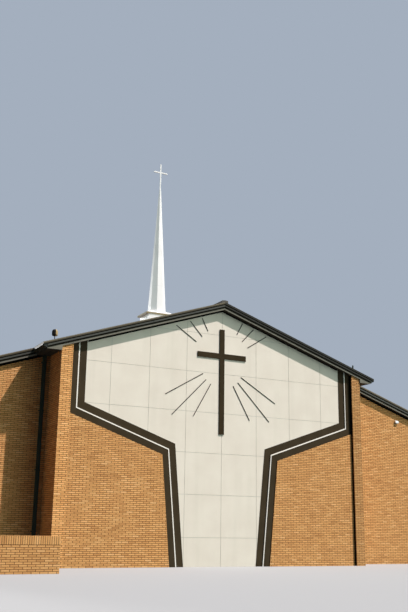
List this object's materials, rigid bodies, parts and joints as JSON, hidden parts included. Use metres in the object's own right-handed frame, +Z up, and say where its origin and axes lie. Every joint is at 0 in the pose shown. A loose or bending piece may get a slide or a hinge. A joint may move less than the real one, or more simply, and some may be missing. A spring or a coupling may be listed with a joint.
{
  "type": "church building",
  "caption": "Modern brick church with a low pitched roof, a gabled front bay with a cream panel and a wall cross, a wing at each side and a slender white steeple on the ridge.",
  "frame": {"origin": "on the ground, at the middle of the front panel's face", "axes": "+X to the right seen from the front, +Y from the front into the building, +Z up"},
  "size_m": [32.21, 30.03, 22.09],
  "materials": {
    "brick": "rough buff brick",
    "plaster": "matt cream stucco",
    "dark_band": "satin brown",
    "white_strip": "satin white",
    "dark_fascia": "satin dark",
    "grey_trim": "painted grey",
    "roof_deck": "bare boards",
    "shingle": "mineral shingle",
    "dark_metal": "dark enamel",
    "white_paint": "satin white"
  },
  "bodies": {
    "root": {"front_wall": "brick", "back_wall": "brick", "forecourt_wall": "brick", "front_brick_right": "brick", "front_brick_left": "brick", "pier_right": "brick", "pier_left": "brick", "wing_front_right": "brick", "wing_front_left": "brick", "side_wall_right": "brick", "side_wall_left": "brick", "front_panel": "plaster", "wall_cross": "dark_band", "inner_band_right": "dark_band", "inner_band_left": "dark_band", "outer_band_right": "dark_band", "outer_band_left": "dark_band", "white_strip_right": "white_strip", "white_strip_left": "white_strip", "bay_fascia": "dark_fascia", "back_fascia": "dark_fascia", "wing_fascia_right": "dark_fascia", "wing_fascia_left": "dark_fascia", "bay_trim": "grey_trim", "back_trim": "grey_trim", "wing_trim_right": "grey_trim", "wing_trim_left": "grey_trim", "bay_eave_right": "grey_trim", "bay_eave_left": "grey_trim", "main_eave_right": "grey_trim", "main_eave_left": "grey_trim", "roof_deck_right": "roof_deck", "roof_deck_left": "roof_deck", "ridge_cap": "shingle", "roof_shingles_right": "shingle", "roof_shingles_left": "shingle", "roof_flue": "dark_metal", "vent_pipe": "dark_metal", "bay_gutter_right": "dark_metal", "bay_gutter_left": "dark_metal", "main_gutter_right": "dark_metal", "main_gutter_left": "dark_metal", "bay_leader_right": "dark_metal", "bay_leader_left": "dark_metal", "side_leader_right_1": "dark_metal", "side_leader_right_2": "dark_metal", "side_leader_left_1": "dark_metal", "side_leader_left_2": "dark_metal", "steeple_base": "white_paint", "steeple_skirt": "white_paint", "spire": "white_paint", "spire_cross": "white_paint", "wall_light_right": "white_paint", "wall_light_left": "white_paint"}
  },
  "joints": []
}
